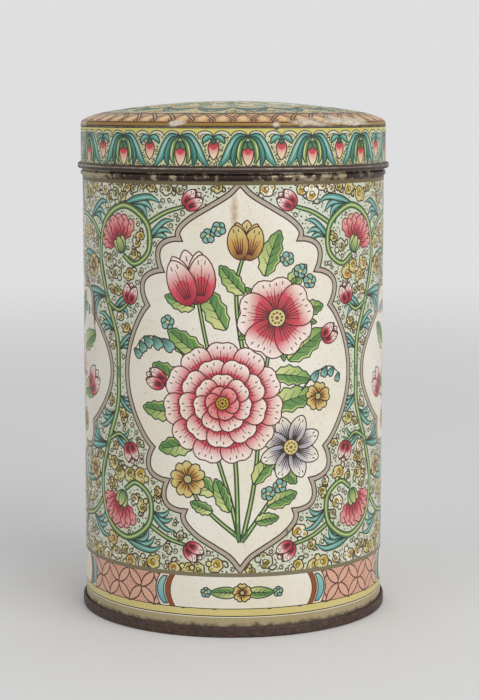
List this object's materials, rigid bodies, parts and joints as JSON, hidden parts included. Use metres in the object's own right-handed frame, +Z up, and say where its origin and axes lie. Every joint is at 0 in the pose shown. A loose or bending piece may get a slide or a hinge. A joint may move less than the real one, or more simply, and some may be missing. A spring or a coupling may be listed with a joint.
{
  "type": "tea caddy",
  "caption": "Round tinplate tea caddy: tall straight printed body with a lid-stop bead and double-seamed base, closed by a domed slip lid with a curled edge.",
  "frame": {"origin": "middle of the flat ring that the caddy stands on, on the table plane", "axes": "+Z up along the caddy's axis, -Y towards the front of the print, the side seam at the back, between +X and +Y"},
  "size_m": [0.0928, 0.0928, 0.1518],
  "materials": {
    "printed_body": "lithographed and varnished tinplate, aged",
    "bare_tinplate": "dull, darkened and rusty tinplate",
    "printed_lid_band": "lithographed and varnished tinplate, aged",
    "printed_lid_top": "lithographed and varnished tinplate, worn at the corner"
  },
  "bodies": {
    "tin": {"body_wall": "printed_body", "base_end": "bare_tinplate"},
    "lid": {"lid_skirt": "printed_lid_band", "lid_top": "printed_lid_top"}
  },
  "joints": [
    {"name": "lid_lift", "type": "slide", "parent": "tin", "child": "lid", "axis": [0, 0, 1], "range_m": [0, 0.05]}
  ]
}
